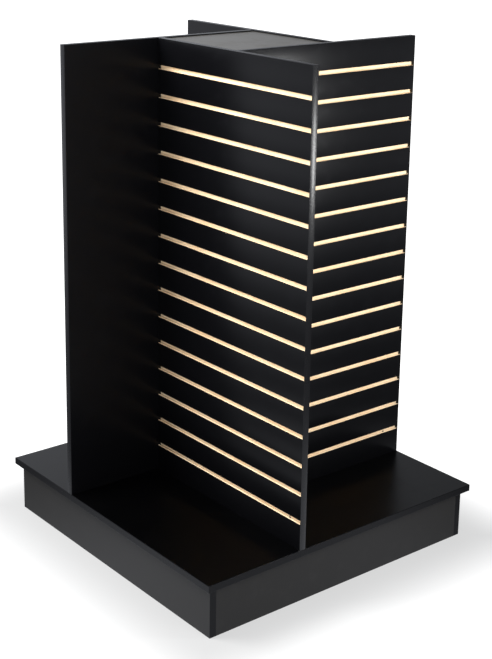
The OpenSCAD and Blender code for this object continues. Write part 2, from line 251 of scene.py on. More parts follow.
def raw_board(name, run, colours):
    """Routed fibreboard: fine fibres, darker clumps, and faint cutter lines along the run."""
    f = Finish(name, {"Roughness": 0.9, "Specular IOR Level": 0.2})
    place = f.place(run)
    cloud = f.noise(place, 11, 4, 0.6)
    clump = f.noise(place, 160, 3, 0.6)
    fibre = f.noise(f.place(run, (500, 900, 900)), 1, 3, 0.7, 0.6)
    dark_fibre = f.fade(f.noise(f.place(run, (260, 620, 620)), 1, 2, 0.6, 1.0), 0.62, 0.74)
    cutter = f.noise(f.place(run, (1.5, 520, 520)), 1, 2, 0.6)
    colour = f.mix(f.fade(cloud, 0.3, 0.75), colours.board_pale, colours.board_tan)
    colour = f.mix(f.fade(clump, 0.45, 0.8) * 0.35, colour, shade(colours.board_tan, 0.82))
    colour = f.mix(dark_fibre * 0.45, colour, colours.board_fibre)
    colour = f.mix(f.fade(cutter, 0.5, 0.72) * 0.14, colour, colours.board_fibre)
    rough = 0.82 + 0.14 * fibre
    normal = f.bump(fibre + 0.6 * cutter + 0.4 * clump, 0.12 * MM, 0.7)
    return f.paint(Base_Color=colour, Roughness=rough, Normal=normal)


def timber(name, run, pale, dark, ring=26.0, fleck=0.3):
    """Planed wood: bent growth rings along the run, and short pores."""
    f = Finish(name, {"Specular IOR Level": 0.35})
    bend = f.noise(f.place(run, (2.2, 14, 14)), 1, 3, 0.5)
    along = f.place(run, (0.35, 1, 1))
    rings = f.node(
        "ShaderNodeTexWave",
        {"wave_type": "RINGS", "rings_direction": "X", "wave_profile": "SAW"},
        {"Vector": along, "Scale": ring, "Distortion": 5.0, "Detail": 3.0, "Detail Scale": 1.4},
    )
    pores = f.fade(f.noise(f.place(run, (55, 900, 900)), 1, 2, 0.6), 0.60, 0.72)
    late = f.fade(rings, 0.35, 0.95)
    colour = f.mix(late * 0.75 + bend * 0.25, pale, dark)
    colour = f.mix(pores * fleck, colour, shade(dark, 0.55))
    rough = 0.52 + 0.16 * late + 0.1 * pores
    normal = f.bump(late * 0.6 - pores, 0.07 * MM, 0.6)
    return f.paint(Base_Color=colour, Roughness=rough, Normal=normal)


def plated_steel(name, run, colours):
    """Zinc plate: crystal flecks, a faint blue and straw tint, and drawing lines."""
    f = Finish(name, {"Metallic": 1.0})
    place = f.place(run)
    tint = f.noise(place, 130, 3, 0.6)
    flecks = f.node("ShaderNodeTexVoronoi", {"feature": "F1"}, {"Vector": place, "Scale": 1400.0})
    lines = f.noise(f.place(run, (60, 2600, 2600)), 1, 2, 0.6)
    dull = f.fade(f.noise(place, 260, 4, 0.65), 0.52, 0.7)
    colour = f.mix(f.fade(tint, 0.35, 0.65), colours.zinc, shade(colours.zinc, 0.82))
    colour = f.mix(dull * 0.4, colour, colours.zinc_dull)
    rough = 0.27 + 0.16 * dull + 0.12 * flecks
    normal = f.bump(lines + 0.5 * flecks, 0.01 * MM, 0.5)
    return f.paint(Base_Color=colour, Roughness=rough, Normal=normal)


def blacked_steel(name, run, colours):
    """Black phosphate: a dull grained coat, worn bright in small spots."""
    f = Finish(name, {"Metallic": 0.75})
    place = f.place(run)
    grain = f.noise(place, 1900, 2, 0.6)
    cloud = f.noise(place, 210, 3, 0.6)
    bare = f.fade(f.noise(place, 520, 4, 0.7), 0.66, 0.76)
    colour = f.mix(cloud, colours.blacked, shade(colours.blacked, 1.8))
    colour = f.mix(bare * 0.5, colour, shade(colours.zinc, 0.6))
    rough = 0.46 + 0.18 * grain - 0.14 * bare
    return f.paint(
        Base_Color=colour, Roughness=rough, Normal=f.bump(grain, 0.02 * MM, 0.6)
    )


def moulded_nylon(name, run, colours):
    """Black moulded plastic: a spark-eroded grain, rubbed grey where it drags."""
    f = Finish(name, {"Specular IOR Level": 0.45})
    place = f.place(run)
    spark = f.noise(place, 1300, 3, 0.65)
    cloud = f.noise(place, 60, 3, 0.6)
    rubbed = f.fade(f.noise(place, 240, 4, 0.7), 0.56, 0.76)
    colour = f.mix(cloud * 0.6, colours.nylon, shade(colours.nylon, 1.7))
    colour = f.mix(rubbed * 0.25, colour, colours.laminate_worn)
    rough = 0.44 + 0.14 * cloud + 0.16 * rubbed
    return f.paint(
        Base_Color=colour, Roughness=rough, Normal=f.bump(spark, 0.03 * MM, 0.6)
    )


# Shapes ----------------------------------------------------------------------


def solids(node):
    """The corner points of each separate solid in a CAD node, in a fixed order."""
    mesh = bmesh.new()
    mesh.from_mesh(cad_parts[node].data)
    bmesh.ops.remove_doubles(mesh, verts=mesh.verts, dist=SAME_PLACE)
    mesh.verts.ensure_lookup_table()
    reached = set()
    found = []
    for seed in mesh.verts:
        if seed.index in reached:
            continue
        reached.add(seed.index)
        front, island = [seed], []
        while front:
            vert = front.pop()
            island.append(vert.co.copy())
            for edge in vert.link_edges:
                other = edge.other_vert(vert)
                if other.index not in reached:
                    reached.add(other.index)
                    front.append(other)
        found.append(island)
    mesh.free()
    return found


def corners_of(points):
    low = Vector([min(p[axis] for p in points) for axis in range(3)])
    high = Vector([max(p[axis] for p in points) for axis in range(3)])
    return low, high


class Pin:
    """Where a long round solid lies: its wider end, the way it points, its length and radius."""

    def __init__(self, points):
        low, high = corners_of(points)
        size = high - low
        axis = max(range(3), key=lambda a: size[a])
        middle = (low + high) / 2
        widths = []
        for end in (low[axis], high[axis]):
            rim = [p for p in points if abs(p[axis] - end) < 0.2 * MM]
            off = [Vector([p[a] - middle[a] for a in range(3) if a != axis]) for p in rim]
            widths.append(max(v.length for v in off))
        forward = widths[0] >= widths[1]
        self.direction = Vector([0.0, 0.0, 0.0])
        self.direction[axis] = 1.0 if forward else -1.0
        self.start = middle.copy()
        self.start[axis] = low[axis] if forward else high[axis]
        self.length = size[axis]
        self.radius = min(size) / 2

    def matrix(self):
        turn = self.direction.to_track_quat("Z", "Y").to_matrix().to_4x4()
        return Matrix.Translation(self.start) @ turn


def pins(node):
    return [Pin(points) for points in solids(node)]


def revolve(mesh, outline, steps):
    """Spins an outline of (radius, height) points round the Z axis into a closed shape."""
    verts = [mesh.verts.new((radius, 0, height)) for radius, height in outline]
    edges = [mesh.edges.new(pair) for pair in zip(verts, verts[1:])]
    if outline[0][0] > 0:
        edges.append(mesh.edges.new((verts[-1], verts[0])))
    bmesh.ops.spin(
        mesh, geom=verts + edges, cent=(0, 0, 0), axis=(0, 0, 1),
        angle=WHOLE_TURN, steps=steps, use_merge=True,
    )


def thread(mesh, inner, outer, pitch, bottom, top, steps):
    """A closed ridge wound round the Z axis, sunk into the core that it stands on."""
    turns = (top - bottom) / pitch
    count = round(turns * steps)
    root = inner - 0.1 * MM
    rise = pitch * 0.36
    profile = [(root, bottom - rise), (outer, bottom), (root, bottom + rise)]
    verts = [mesh.verts.new((radius, 0, height)) for radius, height in profile]
    edges = [mesh.edges.new((verts[i], verts[(i + 1) % 3])) for i in range(3)]
    made = bmesh.ops.spin(
        mesh, geom=verts + edges, cent=(0, 0, 0), axis=(0, 0, 1),
        dvec=(0, 0, (top - bottom) / count), angle=WHOLE_TURN * turns, steps=count,
    )
    end = [v for v in made["geom_last"] if isinstance(v, bmesh.types.BMVert)]
    mesh.faces.new(verts)
    mesh.faces.new(end)


def fin(mesh, corners, thick, turn):
    """A flat fin with these corners, given its thickness and turned round the Z axis."""
    verts = [mesh.verts.new(corner) for corner in corners]
    grown = bmesh.ops.extrude_face_region(mesh, geom=[mesh.faces.new(verts)])
    other = [part for part in grown["geom"] if isinstance(part, bmesh.types.BMVert)]
    bmesh.ops.translate(mesh, vec=thick, verts=other)
    matrix = Matrix.Rotation(turn, 3, "Z")
    bmesh.ops.rotate(mesh, cent=(0, 0, 0), matrix=matrix, verts=verts + other)


def gather(mesh, single, matrix):
    """Adds a small shape to a mesh, moved by the matrix, and frees it."""
    single.transform(matrix)
    data = bpy.data.meshes.new("single")
    single.to_mesh(data)
    single.free()
    mesh.from_mesh(data)
    bpy.data.meshes.remove(data)


def tidy_shell(mesh):
    bmesh.ops.remove_doubles(mesh, verts=mesh.verts, dist=SAME_PLACE)
    bmesh.ops.dissolve_degenerate(mesh, edges=mesh.edges, dist=SAME_PLACE)
    bmesh.ops.recalc_face_normals(mesh, faces=mesh.faces)


def eased_board(mesh, low, high, outward, radius):
    """A flat strip whose edges round its outward face are eased."""
    made = bmesh.ops.create_cube(mesh, size=1.0)
    verts = made["verts"]
    bmesh.ops.scale(mesh, vec=high - low, verts=verts)
    bmesh.ops.translate(mesh, vec=(low + high) / 2, verts=verts)
    faces = {face for vert in verts for face in vert.link_faces}
    front = [face for face in faces if face.normal.dot(outward) > 0.9]
    rim = {edge for face in front for edge in face.edges}
    rim = sorted(rim, key=lambda edge: (*edge.verts[0].co, *edge.verts[1].co))
    bmesh.ops.bevel(
        mesh, geom=rim, affect="EDGES", offset=radius, segments=3, profile=0.5, material=-1
    )


def put_in_order(parts, place):
    """Sorts a mesh's vertices or faces by where they are, so that every run numbers them alike."""
    ranks = {part: rank for rank, part in enumerate(sorted(parts, key=place))}
    parts.sort(key=ranks.get)
    parts.index_update()


def piece(mesh, name, finish, body, replaced):
    """Makes a bmesh a finished piece that rides on its body and stands for CAD nodes."""
    put_in_order(mesh.verts, lambda vert: tuple(vert.co))
    put_in_order(mesh.faces, lambda face: tuple(face.calc_center_median()))
    data = bpy.data.meshes.new(name)
    mesh.to_mesh(data)
    mesh.free()
    data.materials.append(finish)
    data.shade_smooth()
    data.set_sharp_from_angle(angle=SHARP_EDGE)
    made = bpy.data.objects.new(name, data)
    bpy.context.scene.collection.objects.link(made)
    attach(made, body)
    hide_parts(*replaced)
    return made


def coat(node, finish):
    """Gives a CAD node its finish."""
    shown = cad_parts[node]
    for slot in shown.material_slots:
        slot.material = finish


# Settings --------------------------------------------------------------------


def colour(name, description, default):
    return FloatVectorProperty(
        name=name, description=description, default=default, subtype="COLOR", size=3, min=0, max=1
    )


def share(name, description, default):
    return FloatProperty(
        name=name, description=description, default=default, subtype="FACTOR", min=0, max=1
    )


def length(name, description, default):
    return FloatProperty(
        name=name, description=description, default=default, subtype="DISTANCE", unit="LENGTH"
    )


def amount(name, description, default):
    return FloatProperty(name=name, description=description, default=default)


def power(name, description, default):
    return FloatProperty(
        name=name, description=f"{description}, in watts", default=default, unit="POWER"
    )


def angle(name, description, degrees):
    return FloatProperty(
        name=name, description=description, default=math.radians(degrees), subtype="ANGLE"
    )


def place_of(name, description, default):
    return FloatVectorProperty(
        name=name, description=description, default=default, subtype="TRANSLATION", size=3
    )


class SlatwallColours(bpy.types.PropertyGroup):
    """Base colours of the finishes"""

    laminate: colour("Laminate", "Colour of the black laminate", (0.0018, 0.0018, 0.0022))
    # The cap's grey ground is partly painted sheen: a lighter copy of the black laminate that holds
    # the grazing reflection on its top.
    cap: colour("Cap", "Colour of the cap's dark grey laminate", (0.046, 0.043, 0.037))
    # The deck's ground is a darker copy of the same black laminate: painted shade.
    deck: colour("Deck", "Colour of the deck's black laminate", (0.0005, 0.0005, 0.0006))
    # The kick boards' ground is a lighter copy of the same black laminate: painted light for the
    # light that falls on them.
    kick: colour("Kick boards", "Colour of the kick boards' laminate", (0.013, 0.0125, 0.012))
    laminate_worn: colour("Worn edge", "Colour where black sheet is rubbed", (0.10, 0.10, 0.10))
    dust: colour("Dust", "Colour of settled dust", (0.30, 0.28, 0.25))
    band: colour("Edge band", "Colour of the black edge bands", (0.0022, 0.0022, 0.0026))
    board_pale: colour("Pale fibreboard", "Lighter fibreboard", (0.91, 0.76, 0.54))
    board_tan: colour("Tan fibreboard", "Darker fibreboard", (0.85, 0.66, 0.43))
    board_fibre: colour("Fibres", "Dark fibres in the board", (0.56, 0.36, 0.19))
    pine_pale: colour("Pine", "Early wood of the pine", (0.74, 0.52, 0.29))
    pine_dark: colour("Pine rings", "Late wood of the pine", (0.52, 0.29, 0.12))
    beech_pale: colour("Beech", "Ground colour of the beech", (0.66, 0.45, 0.27))
    beech_dark: colour("Beech rings", "Darker rings of the beech", (0.52, 0.32, 0.18))
    zinc: colour("Zinc", "Colour of zinc plate", (0.66, 0.67, 0.69))
    zinc_dull: colour("Dull zinc", "Colour of dulled zinc plate", (0.46, 0.46, 0.45))
    blacked: colour("Blacked steel", "Colour of phosphate-coated steel", (0.035, 0.035, 0.037))
    nylon: colour("Nylon", "Colour of the levellers' feet", (0.012, 0.012, 0.013))


class SlatwallSurfaces(bpy.types.PropertyGroup):
    """Gloss of the sheets and sizes of the fine detail"""

    laminate_gloss: share("Laminate gloss", "Specular level of the laminate", 0.15)
    laminate_roughness: share("Laminate roughness", "Roughness of the laminate", 0.27)
    band_gloss: share("Band gloss", "Specular level of the edge bands", 0.2)
    band_roughness: share("Band roughness", "Roughness of the edge bands", 0.24)
    arris: length("Arris", "Radius of an edge band's eased edge", 0.0005)
    strip_arris: length("Strip arris", "Radius of a laminate strip's eased edge", 0.00035)
    leveller_pitch: length("Leveller pitch", "Thread pitch of the levellers", 0.0015875)
    screw_pitch: length("Screw pitch", "Thread pitch of the deck screws", 0.0026)


class SlatwallStage(bpy.types.PropertyGroup):
    """Camera, floor and light"""

    camera_place: place_of("Camera", "Where the camera stands", (2.75549, -2.23914, 1.80489))
    azimuth: angle("Azimuth", "The camera's side, from the front towards the right", 50.76)
    elevation: angle("Elevation", "How far the camera looks down", 14.14)
    roll: angle("Roll", "How far the camera leans", 0.92)
    focal: FloatProperty(name="Lens", description="Focal length", default=74.295, unit="CAMERA")
    shift: amount("Shift", "Vertical lens shift", -0.18)
    floor_reach: length("Floor", "Half the width of the floor", 60.0)
    floor: colour("Floor", "Colour of the floor", (0.12, 0.12, 0.119))
    # The floor's own glow; the shaded part near the display is painted shadow.
    floor_lift: amount("Floor lift", "Light that the clear floor gives more than the shaded", 0.75)
    shaded_lift: amount("Shaded lift", "Light of the shaded floor, as a share of that", 0.75)
    shade_reach: length("Shade reach", "Where the display's shade on the floor ends", 0.85)
    tint: colour("Tint", "Colour of the light in the room", (0.90, 0.93, 1.0))
    room: amount("Room", "Brightness of the room at the front and the sides", 1.0)
    room_back: amount("Back of the room", "Brightness of the room behind the display", 0.34)
    # Painted reflection of the floor, as the gloss meets it:
    floor_near: amount("Near floor", "Reflected brightness of the floor by the display", 0.3)
    floor_far: amount("Far floor", "Reflected brightness of the floor far away", 1.35)
    near_reach: length("Near reach", "Where the reflected floor starts to brighten", 1.0)
    far_reach: length("Far reach", "Where the reflected floor is at its brightest", 6.0)
    pool: amount("Pool", "Brightness added where the light falls by the front corner", 1.1)
    pool_place: place_of("Pool", "Middle of the pool of light", (0.62, -0.36, 0.0))
    pool_reach: length("Pool reach", "How far the pool of light spreads", 1.35)
    softbox: length("Softbox", "Width and height of the two large lights", 1.2)
    key_place: place_of("Key light", "Where the key light hangs", (-0.9, -1.7, 2.3))
    key_aim: place_of("Key aim", "What the key light points at", (0.0, -0.2, 1.09728))
    key_power: power("Key power", "Power of the key light at the front left", 125.0)
    side_place: place_of("Side light", "Where the side light hangs", (2.1, -0.3, 2.2))
    side_aim: place_of("Side aim", "What the side light points at", (0.1, 0.0, 1.0287))
    side_power: power("Side power", "Power of the side light at the right", 36.0)
    strip_width: length("Strip width", "Width of the small tall light", 0.14)
    strip_height: length("Strip height", "Height of the small tall light", 0.32)
    strip_place: place_of("Strip light", "Where the strip light hangs", (1.3, 0.60, 1.06))
    strip_aim: place_of("Strip aim", "What the strip light points at", (0.457, -0.16, 1.2))
    strip_power: power("Strip power", "Power of the strip light at the back right", 11.0)


# Pieces ----------------------------------------------------------------------


class SLATWALL_OT_panels(bpy.types.Operator):
    """Builds the laminate strips and edge bands, and finishes the four grooved panels"""

    bl_idname = "slatwall.panels"
    bl_label = "Panels"

    def execute(self, context):
        colours, surfaces = context.scene.slatwall_colours, context.scene.slatwall_surfaces
        for side in SIDES:
            run, outward = RUNS[side], OUTWARD[side]
            self.slats(side, run, outward, colours, surfaces)
            edging = edge_band(f"panel_band_{side}", "Z", colours, surfaces)
            free_end = Vector((-outward.y, outward.x, 0))
            self.band(side, "end", free_end, edging, surfaces.arris)
            edging = edge_band(f"panel_top_{side}", run, colours, surfaces, gloss=0.4)
            self.band(side, "top", Vector((0, 0, 1)), edging, surfaces.arris)
            coat(f"{side}_panel_core", raw_board(f"routed_board_{side}", run, colours))
            back = laminate(f"back_laminate_{side}", run, colours, surfaces)
            coat(f"{side}_panel_back_face", back)
        return {"FINISHED"}

    @staticmethod
    def slats(side, run, outward, colours, surfaces):
        """The laminate strips of one panel, scuffed where they border its grooves."""
        node = f"{side}_panel_slat_faces"
        strips = sorted((corners_of(points) for points in solids(node)), key=lambda b: b[0].z)
        gaps = [(under[1].z, over[0].z) for under, over in zip(strips, strips[1:])]
        first = sum(gaps[0]) / 2
        pitch = sum(gaps[1]) / 2 - first
        edges = (first, pitch, (gaps[0][1] - gaps[0][0]) / 2)
        face = laminate(f"slat_laminate_{side}", run, colours, surfaces, edges=edges)
        mesh = bmesh.new()
        for low, high in strips:
            eased_board(mesh, low, high, outward, surfaces.strip_arris)
        piece(mesh, f"{side}_slat_strips", face, FIXTURE, [node])

    @staticmethod
    def band(side, where, outward, edging, arris):
        """The band along one panel's free end or its top."""
        node = f"{side}_panel_{where}_band"
        low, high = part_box(node)
        mesh = bmesh.new()
        eased_board(mesh, low, high, outward, arris)
        piece(mesh, f"{side}_{where}_edging", edging, FIXTURE, [node])


class SLATWALL_OT_cap(bpy.types.Operator):
    """Finishes the cap and the battens that carry it"""

    bl_idname = "slatwall.cap"
    bl_label = "Cap"

    def execute(self, context):
        colours, surfaces = context.scene.slatwall_colours, context.scene.slatwall_surfaces
        # The cap's grey ground and heavy dust are partly painted sheen, lightening its top as its
        # grazing reflection would.
        grey = laminate("cap_laminate", "X", colours, surfaces, colours.cap, gloss=0.8, dust=1.5)
        coat("top_cap_laminate", grey)
        coat("top_cap_board", raw_board("cap_board", "X", colours))
        for side in SIDES:
            wood = timber(f"cleat_pine_{side}", RUNS[side], colours.pine_pale, colours.pine_dark)
            coat(f"cap_cleat_{side}", wood)
        return {"FINISHED"}


class SLATWALL_OT_base(bpy.types.Operator):
    """Finishes the deck, the kick boards, the stretchers and the corner blocks"""

    bl_idname = "slatwall.base"
    bl_label = "Base"

    def execute(self, context):
        colours, surfaces = context.scene.slatwall_colours, context.scene.slatwall_surfaces
        # The deck's darker black is painted shade.
        black = laminate("deck_laminate", "X", colours, surfaces, colours.deck, dust=0.12)
        coat("deck_laminate", black)
        coat("deck_board", raw_board("deck_board", "X", colours))
        edging = edge_band("kick_edging", "Z", colours, surfaces, chipped=0.8, gloss=0.4)
        coat("kick_end_bands", edging)
        coat("stretcher_across", raw_board("stretcher_board_across", "X", colours))
        coat("stretcher_along", raw_board("stretcher_board_along", "Y", colours))
        for side in SIDES:
            run = RUNS[side]
            edging = edge_band(f"deck_edging_{side}", run, colours, surfaces, gloss=0.42)
            coat(f"deck_band_{side}", edging)
            # The kick boards' lighter black is painted light.
            board = laminate(
                f"kick_laminate_{side}", run, colours, surfaces, colours.kick, gloss=0.6
            )
            coat(f"kick_{side}", board)
        block = timber("block_pine", "Z", colours.pine_pale, colours.pine_dark)
        for corner in CORNERS:
            coat(f"corner_block_{corner}", block)
        return {"FINISHED"}


class SLATWALL_OT_levellers(bpy.types.Operator):
    """Builds the threaded stems, the ribbed feet and the pronged nuts"""

    bl_idname = "slatwall.levellers"
    bl_label = "Levellers"

    def execute(self, context):
        colours, surfaces = context.scene.slatwall_colours, context.scene.slatwall_surfaces
        steel = plated_steel("leveller_zinc", "Z", colours)
        nylon = moulded_nylon("foot_nylon", "Z", colours)
        for corner in CORNERS:
            self.stem(corner, steel, surfaces)
            self.foot(corner, nylon)
        mesh = bmesh.new()
        for points in solids("leveller_nuts"):
            self.nut(mesh, points)
        piece(mesh, "pronged_nuts", steel, FIXTURE, ["leveller_nuts"])
        return {"FINISHED"}

    @staticmethod
    def nut(mesh, points):
        """A nut with a flange under the block and four prongs bent up into it."""
        low, high = corners_of(points)
        middle = (low + high) / 2
        radii = [(Vector((p.x, p.y)) - Vector((middle.x, middle.y))).length for p in points]
        bore, flange, tall = min(radii), max(radii), high.z - low.z
        thick, barrel, ease, fillet = 1.6 * MM, 5.9 * MM, 0.3 * MM, 0.6 * MM
        outline = [
            (bore + ease, 0), (flange - ease, 0), (flange, ease), (flange, thick),
            (barrel + fillet, thick), (barrel, thick + fillet), (barrel, tall - ease),
            (barrel - ease, tall), (bore, tall), (bore, ease),
        ]
        single = bmesh.new()
        revolve(single, outline, 36)
        tidy_shell(single)
        wide, long, sheet, inset = 3.2 * MM, 7.5 * MM, 1.1 * MM, 2.2 * MM
        prong = [(-wide / 2, thick / 2), (wide / 2, thick / 2), (0, thick + long)]
        corners = [(flange - inset, y, z) for y, z in prong]
        for index in range(4):
            fin(single, corners, (sheet, 0, 0), (index + 0.5) * WHOLE_TURN / 4)
        bmesh.ops.recalc_face_normals(single, faces=single.faces)
        gather(mesh, single, Matrix.Translation((middle.x, middle.y, low.z)))

    @staticmethod
    def stem(corner, steel, surfaces):
        """A stem with a knob in the foot, a plain neck, a hexagon collar and a thread."""
        node = f"leveller_stem_{corner}"
        low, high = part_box(node)
        middle = (low + high) / 2
        tall = high.z - low.z
        radius, core, knob, collar = 4.75 * MM, 4.1 * MM, 7 * MM, 8.05 * MM
        knob_top, neck_top, collar_middle, thread_start = 6.2 * MM, 21 * MM, 25.1 * MM, 30 * MM
        knob_ease, relief, tip_ease, collar_ease = 1.5 * MM, 1 * MM, 1.2 * MM, 0.6 * MM
        collar_height, thread_end = 6.8 * MM, tall - 2.2 * MM
        outline = [
            (0, 0), (knob - knob_ease, 0), (knob, knob_ease), (knob, knob_top - knob_ease),
            (knob - knob_ease, knob_top), (radius, knob_top), (radius, neck_top),
            (core, neck_top + relief), (core, tall - tip_ease), (core - tip_ease, tall), (0, tall),
        ]
        mesh = bmesh.new()
        revolve(mesh, outline, 32)
        thread(mesh, core, radius, surfaces.leveller_pitch, thread_start, thread_end, 20)
        made = bmesh.ops.create_cone(
            mesh, cap_ends=True, segments=6, radius1=collar, radius2=collar, depth=collar_height
        )
        bmesh.ops.translate(mesh, vec=(0, 0, collar_middle), verts=made["verts"])
        rims = {edge for vert in made["verts"] for edge in vert.link_edges}
        rims = [e for e in rims if abs(e.verts[0].co.z - e.verts[1].co.z) < SAME_PLACE]
        bmesh.ops.bevel(
            mesh, geom=rims, affect="EDGES", offset=collar_ease, segments=2, profile=0.5,
            material=-1,
        )
        tidy_shell(mesh)
        bmesh.ops.translate(mesh, vec=(middle.x, middle.y, low.z), verts=mesh.verts)
        name, body = f"threaded_stem_{corner}", f"stem_{corner}"
        piece(mesh, name, steel, body, [node])

    @staticmethod
    def foot(corner, nylon):
        """A foot with a recessed sole, eight ribs and a socket for the stem's knob."""
        node = f"leveller_foot_{corner}"
        low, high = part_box(node)
        middle = (low + high) / 2
        rim, tall = (high.x - low.x) / 2, high.z - low.z
        hub, bore, socket = 10.5 * MM, 4.82 * MM, 7.3 * MM
        recess, tread, tread_slope, ease, fillet = 0.6 * MM, 4 * MM, 0.8 * MM, 1 * MM, 1.2 * MM
        rim_top, dish_top, socket_floor, socket_top = 4.6 * MM, 5.2 * MM, 4 * MM, 10.8 * MM
        outline = [
            (0, recess), (rim - tread, recess), (rim - tread + tread_slope, 0), (rim - ease, 0),
            (rim, ease), (rim, rim_top - ease), (rim - ease, rim_top), (hub + fillet, dish_top),
            (hub, dish_top + fillet), (hub, tall - ease), (hub - ease, tall), (bore, tall),
            (bore, socket_top), (socket, socket_top), (socket, socket_floor), (0, socket_floor),
        ]
        mesh = bmesh.new()
        revolve(mesh, outline, 40)
        tidy_shell(mesh)
        ribs, thick, sunk = 8, 1.6 * MM, 0.4 * MM
        rib_foot, rib_top, rib_end = 4.4 * MM, 12.5 * MM, rim - 2 * MM
        rib = [(hub - sunk, rib_foot), (rib_end, rib_foot), (hub - sunk, rib_top)]
        corners = [(reach, -thick / 2, height) for reach, height in rib]
        for index in range(ribs):
            fin(mesh, corners, (0, thick, 0), index * WHOLE_TURN / ribs)
        bmesh.ops.recalc_face_normals(mesh, faces=mesh.faces)
        bmesh.ops.translate(mesh, vec=(middle.x, middle.y, low.z), verts=mesh.verts)
        piece(mesh, f"ribbed_foot_{corner}", nylon, f"foot_{corner}", [node])


class SLATWALL_OT_joinery(bpy.types.Operator):
    """Builds the threaded cam bolts and fluted dowels, and finishes the cams"""

    bl_idname = "slatwall.joinery"
    bl_label = "Joinery"

    def execute(self, context):
        colours = context.scene.slatwall_colours
        coat("cam_locks", plated_steel("cam_zinc", "X", colours))
        mesh = bmesh.new()
        for pin in pins("cam_bolts"):
            self.bolt(mesh, pin)
        black = blacked_steel("bolt_black", "X", colours)
        piece(mesh, "threaded_cam_bolts", black, FIXTURE, ["cam_bolts"])
        mesh = bmesh.new()
        for pin in pins("wood_dowels"):
            self.dowel(mesh, pin)
        beech = timber("dowel_beech", "X", colours.beech_pale, colours.beech_dark)
        piece(mesh, "fluted_dowels", beech, FIXTURE, ["wood_dowels"])
        return {"FINISHED"}

    @staticmethod
    def bolt(mesh, pin):
        """A cam bolt: a threaded root, a plain shank, a thin neck and a button head."""
        shank, neck, core, ridge = 2.75 * MM, 1.75 * MM, 1.9 * MM, 2.5 * MM
        root, neck_length, head, dome = 11 * MM, 6.5 * MM, 2.7 * MM, 1 * MM
        tip, step, shoulder, flat = 0.5 * MM, 0.5 * MM, 1 * MM, 0.8 * MM
        pitch, thread_start, thread_end = 1.6 * MM, 1.4 * MM, root - 1.2 * MM
        under_head = pin.length - head - dome
        neck_start = under_head - neck_length
        outline = [
            (0, 0), (core - tip, 0), (core, 0.6 * MM), (core, root - 0.4 * MM), (ridge, root),
            (shank, root + step), (shank, neck_start - shoulder), (neck, neck_start),
            (neck, under_head - step), (head, under_head), (head, under_head + head - 0.6 * MM),
            (head - flat, under_head + head), (0, pin.length),
        ]
        single = bmesh.new()
        revolve(single, outline, 20)
        thread(single, core, ridge, pitch, thread_start, thread_end, 12)
        tidy_shell(single)
        gather(mesh, single, pin.matrix())

    @staticmethod
    def dowel(mesh, pin):
        """A hardwood dowel with straight flutes pressed along it and chamfered ends."""
        flutes, chamfer, pressed = 14, 1 * MM, 0.91
        steps = 2 * flutes
        single = bmesh.new()
        outline = [
            (0, 0), (pin.radius - chamfer, 0), (pin.radius, chamfer),
            (pin.radius, pin.length - chamfer), (pin.radius - chamfer, pin.length), (0, pin.length),
        ]
        revolve(single, outline, steps)
        tidy_shell(single)
        for vert in single.verts:
            spoke = round(math.atan2(vert.co.y, vert.co.x) / WHOLE_TURN * steps)
            if spoke % 2:
                vert.co.x *= pressed
                vert.co.y *= pressed
        gather(mesh, single, pin.matrix())


class SLATWALL_OT_screws(bpy.types.Operator):
    """Builds the threaded countersunk screws"""

    bl_idname = "slatwall.screws"
    bl_label = "Screws"

    def execute(self, context):
        colours, surfaces = context.scene.slatwall_colours, context.scene.slatwall_surfaces
        black = blacked_steel("screw_black", "Z", colours)
        for node, name in (
            ("long_screws", "threaded_long_screws"),
            ("deck_screws", "threaded_deck_screws"),
            ("wood_screws", "threaded_wood_screws"),
        ):
            mesh = bmesh.new()
            for pin in pins(node):
                self.screw(mesh, pin, surfaces.screw_pitch)
            piece(mesh, name, black, FIXTURE, [node])
        return {"FINISHED"}

    @staticmethod
    def screw(mesh, pin, pitch):
        """A countersunk screw with a coarse thread on its outer two thirds."""
        head, shank = pin.radius, pin.radius / 2
        core, neck = shank * 0.68, shank * 0.86
        socket_mouth, socket_floor = head * 0.42, head * 0.30
        socket_depth, point_depth = 1.5 * MM, 1.7 * MM
        rim, rim_ease, rim_top = head - 0.1 * MM, 0.15 * MM, 0.4 * MM
        cone, plain, tip = head - shank + rim_top, pin.length * 0.34, 7 * MM
        run_in, thread_gap = 1 * MM, 2 * MM
        outline = [
            (0, point_depth), (socket_floor, socket_depth), (socket_mouth, 0), (rim, 0),
            (head, rim_ease), (head, rim_top), (shank, cone), (neck, plain),
            (core, plain + run_in), (core, pin.length - tip), (0, pin.length),
        ]
        single = bmesh.new()
        revolve(single, outline, 20)
        thread(single, core, shank, pitch, plain + thread_gap, pin.length - tip, 12)
        tidy_shell(single)
        gather(mesh, single, pin.matrix())


# Stage -----------------------------------------------------------------------


def soft_light(name, place, aim, size, watts, in_gloss):
    """A rectangular light that the camera doesn't see, nor the gloss unless in_gloss is set."""
    lamp = bpy.data.lights.new(name, "AREA")
    lamp.shape = "RECTANGLE"
    lamp.size, lamp.size_y = size
    lamp.energy = watts
    made = bpy.data.objects.new(name, lamp)
    bpy.context.scene.collection.objects.link(made)
    made.location = place
    made.rotation_euler = (Vector(aim) - Vector(place)).to_track_quat("-Z", "Y").to_euler()
    made.visible_camera = False
    made.visible_glossy = in_gloss


